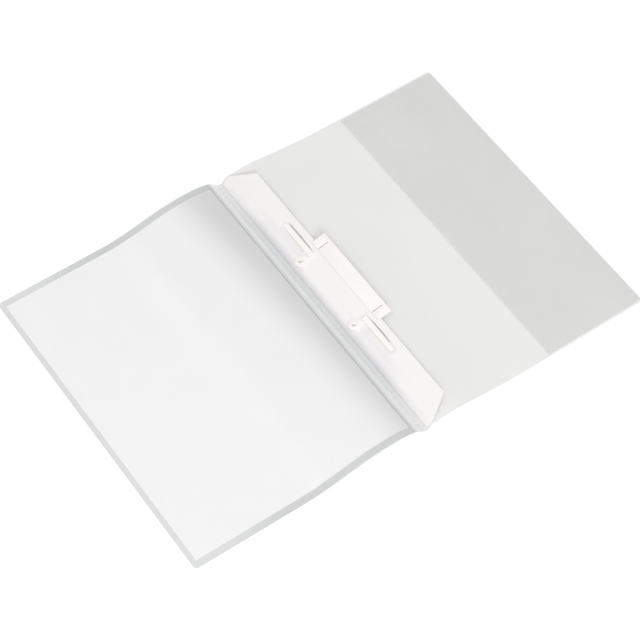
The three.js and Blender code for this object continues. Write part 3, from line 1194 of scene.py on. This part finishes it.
# A block over the strip's free edge, with a groove that grips it and a slot for each prong
def barMesh():
    left = strip["panelWidth"] - bar["grip"]
    right = left + bar["width"]
    half = bar["length"] / 2
    grooveFloor = -strip["thickness"] - bar["gap"]
    bottom = grooveFloor - bar["lip"]
    body = blockObject(
        roundedRectangle(left, right, -half, half, bar["corner"]), bottom, bar["rise"]
    )
    grooveOutline = rectangle(left - 1, strip["panelWidth"] + bar["gap"], -half - 5, half + 5)
    removed = [blockObject(grooveOutline, grooveFloor, bar["gap"])]
    for side in (1, -1):
        near, far = side * prongAt - bar["slotWidth"] / 2, side * prongAt + bar["slotWidth"] / 2
        slotOutline = rectangle(left - 1, left + bar["slotLength"], near, far)
        removed.append(blockObject(slotOutline, bottom - 1, bar["rise"] + 1))
    return shapedMesh("compressorBar", body, [], removed, bar["edge"])


makeObject(
    "compressorBar",
    barMesh(),
    "compressor_bar",
    materials["fastener"],
    ["compressor_bar"],
)
print("compressor bar made")

studio = {
    "floorReach": 6,
    "floorAt": -0.0004,
    "floorTone": (0.99, 1.0),
    "floorGrain": 3,
    "floorRoughness": 0.9,
    "floorIor": 1.2,
    "floorGlow": 0.22,
    "surround": 0.68,
    "lamps": [
        {"name": "topBox", "power": 24, "angle": (-40, 66), "distance": 3.6, "size": 2.1},
        {"name": "sideBox", "power": 33, "angle": (-24, 35), "distance": 3.6, "size": 0.9},
    ],
}


# A white floor with a faint tone, just under the folder
def makeFloor():
    mesh = bpy.data.meshes.new("floor")
    reach = studio["floorReach"]
    corners = [(-reach, -reach, 0), (reach, -reach, 0), (reach, reach, 0), (-reach, reach, 0)]
    mesh.from_pydata(corners, [], [(0, 1, 2, 3)])
    floor = bpy.data.objects.new("floor", mesh)
    floor.location.z = studio["floorAt"]
    bpy.context.scene.collection.objects.link(floor)
    material, nodes, links, shader = newMaterial("floor")
    noise = nodes.new("ShaderNodeTexNoise")
    noise.inputs["Scale"].default_value = studio["floorGrain"]
    tone = rangeNode(nodes, links, noise.outputs["Fac"], (0, 1), studio["floorTone"], "LINEAR")
    links.new(tone, shader.inputs["Base Color"])
    shader.inputs["Roughness"].default_value = studio["floorRoughness"]
    shader.inputs["IOR"].default_value = studio["floorIor"]
    shader.inputs["Emission Color"].default_value = (1, 1, 1, 1)
    shader.inputs["Emission Strength"].default_value = studio["floorGlow"]
    mesh.materials.append(material)


# The surround lights the folder at one level, and is seen and mirrored as white
def makeWorld():
    world = bpy.data.worlds.new("studio")
    bpy.context.scene.world = world
    world.use_nodes = True
    nodes, links = world.node_tree.nodes, world.node_tree.links
    background = nodes["Background"]
    seen = nodes.new("ShaderNodeLightPath")
    mix = nodes.new("ShaderNodeMix")
    mix.data_type = "FLOAT"
    mix.inputs["A"].default_value = studio["surround"]
    mix.inputs["B"].default_value = 1.0
    shown = seen.outputs["Is Camera Ray"]
    for ray in ("Is Glossy Ray", "Is Transmission Ray"):
        shown = mathNode(nodes, links, "MAXIMUM", shown, seen.outputs[ray])
    links.new(shown, mix.inputs["Factor"])
    links.new(mix.outputs["Result"], background.inputs["Strength"])
    background.inputs["Color"].default_value = (1, 1, 1, 1)


def aimAt(thing, place, target):
    thing.location = place
    away = Vector(place) - Vector(target)
    thing.rotation_euler = away.to_track_quat("Z", "Y").to_euler()


def makeLamp(lamp):
    azimuth, elevation = (math.radians(a) for a in lamp["angle"])
    reach = lamp["distance"]
    place = (
        reach * math.sin(azimuth) * math.cos(elevation),
        -reach * math.cos(azimuth) * math.cos(elevation),
        reach * math.sin(elevation),
    )
    light = bpy.data.lights.new(lamp["name"], "AREA")
    light.shape = "SQUARE"
    light.size = lamp["size"]
    light.energy = lamp["power"]
    holder = bpy.data.objects.new(lamp["name"], light)
    bpy.context.scene.collection.objects.link(holder)
    aimAt(holder, place, (0, 0, 0))


# Fitted to the folder's straight edges in the photo
cameraFit = {
    "place": (-0.6444, -0.9304, 1.6428),
    "target": (-0.01039, -0.01441, 0),
    "lens": 131.5,
    "sensor": 36,
    "farthest": 20,
}


def makeCamera():
    data = bpy.data.cameras.new("photo")
    data.lens = cameraFit["lens"]
    data.sensor_width = cameraFit["sensor"]
    data.clip_end = cameraFit["farthest"]
    camera = bpy.data.objects.new("photo", data)
    bpy.context.scene.collection.objects.link(camera)
    aimAt(camera, cameraFit["place"], cameraFit["target"])
    bpy.context.scene.camera = camera


makeFloor()
makeWorld()
for lamp in studio["lamps"]:
    makeLamp(lamp)
makeCamera()
bpy.context.scene.view_settings.view_transform = "Standard"
print("stage made")
